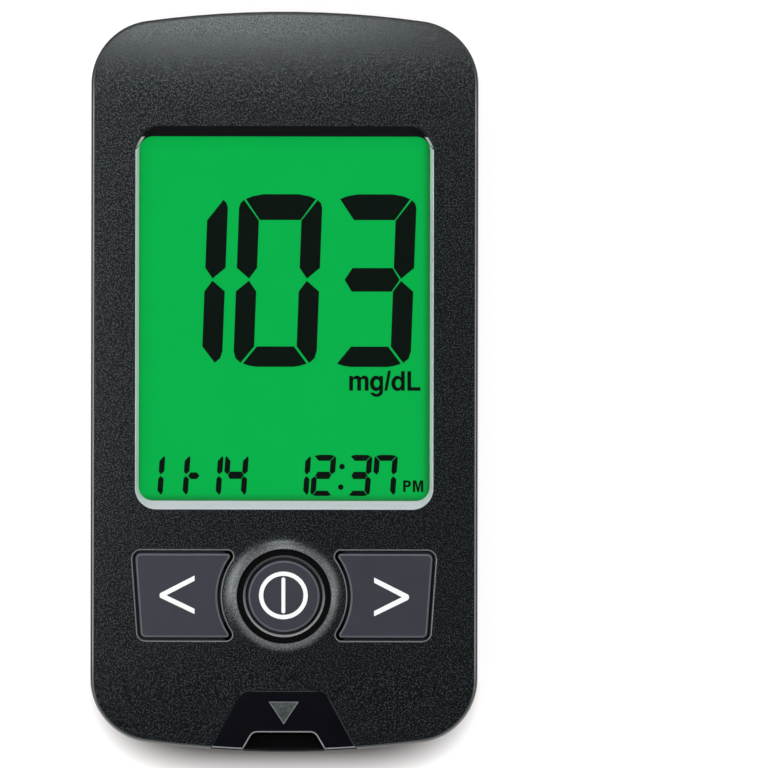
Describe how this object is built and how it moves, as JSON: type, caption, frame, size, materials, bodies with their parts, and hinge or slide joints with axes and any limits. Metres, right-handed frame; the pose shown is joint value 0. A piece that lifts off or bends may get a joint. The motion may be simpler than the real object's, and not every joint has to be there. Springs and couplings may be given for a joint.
{
  "type": "blood glucose meter",
  "caption": "Handheld blood glucose meter: moulded two-part housing, large lit display, round power key between two scroll keys, test strip port and coin cell bay with a hinged door.",
  "frame": {"origin": "under the middle of the meter, on the plane its flat back lies on", "axes": "+Z out of the display, +Y up the face as it is read, from the strip port to the top end, +X to the reader's right"},
  "size_m": [0.053, 0.1012, 0.0158],
  "materials": {
    "cover_black": "fine moulded texture",
    "port_black": "smooth satin",
    "key_grey": "smooth matte",
    "trim_silver": "silver paint",
    "lens_clear": "clear acrylic",
    "tape_black": "matte",
    "gasket_black": "foam",
    "panel_green": "lit display",
    "frame_white": "moulded",
    "guide_clear": "polished",
    "reflector_white": "film",
    "lamp_white": "lamp",
    "elastomer_grey": "striped elastomer",
    "board_green": "solder resist",
    "screw_steel": "zinc plated",
    "switch_black": "moulded",
    "plunger_white": "moulded",
    "connector_black": "moulded",
    "contact_gold": "plated spring",
    "contact_steel": "plated spring",
    "chip_black": "moulded epoxy",
    "crystal_metal": "drawn can",
    "capacitor_tan": "ceramic",
    "buzzer_black": "moulded",
    "cell_steel": "nickel plated"
  },
  "bodies": {
    "housing": {"front_cover": "cover_black", "rear_cover": "cover_black", "strip_port_insert": "port_black", "window_trim": "trim_silver", "display_lens": "lens_clear", "lens_tape": "tape_black", "display_gasket": "gasket_black", "display_panel": "panel_green", "display_frame": "frame_white", "light_guide": "guide_clear", "reflector_sheet": "reflector_white", "backlight_lamps": "lamp_white", "elastomer_connector": "elastomer_grey", "main_board": "board_green", "housing_screws": "screw_steel", "left_switch": "switch_black", "power_switch": "switch_black", "right_switch": "switch_black", "strip_connector": "connector_black", "strip_contacts": "contact_gold", "buzzer": "buzzer_black", "controller_chip": "chip_black", "measuring_chip": "chip_black", "clock_crystal": "crystal_metal", "capacitors": "capacitor_tan", "battery_left": "cell_steel", "battery_right": "cell_steel", "negative_contacts": "contact_steel", "positive_contacts": "contact_steel"},
    "left_key": {"left_button": "key_grey", "left_plunger": "plunger_white"},
    "power_key": {"power_button": "key_grey", "power_plunger": "plunger_white"},
    "right_key": {"right_button": "key_grey", "right_plunger": "plunger_white"},
    "door": {"battery_door": "cover_black"}
  },
  "joints": [
    {"name": "left_press", "type": "slide", "parent": "housing", "child": "left_key", "axis": [0, 0, -1], "range_m": [0, 0.0005], "stiffness_N_per_m": 2500},
    {"name": "power_press", "type": "slide", "parent": "housing", "child": "power_key", "axis": [0, 0, -1], "range_m": [0, 0.0005], "stiffness_N_per_m": 2500},
    {"name": "right_press", "type": "slide", "parent": "housing", "child": "right_key", "axis": [0, 0, -1], "range_m": [0, 0.0005], "stiffness_N_per_m": 2500},
    {"name": "door_hinge", "type": "hinge", "parent": "housing", "child": "door", "pos_m": [0, 0.02665, 0.0011], "axis": [1, 0, 0], "range_deg": [0, 80]}
  ]
}
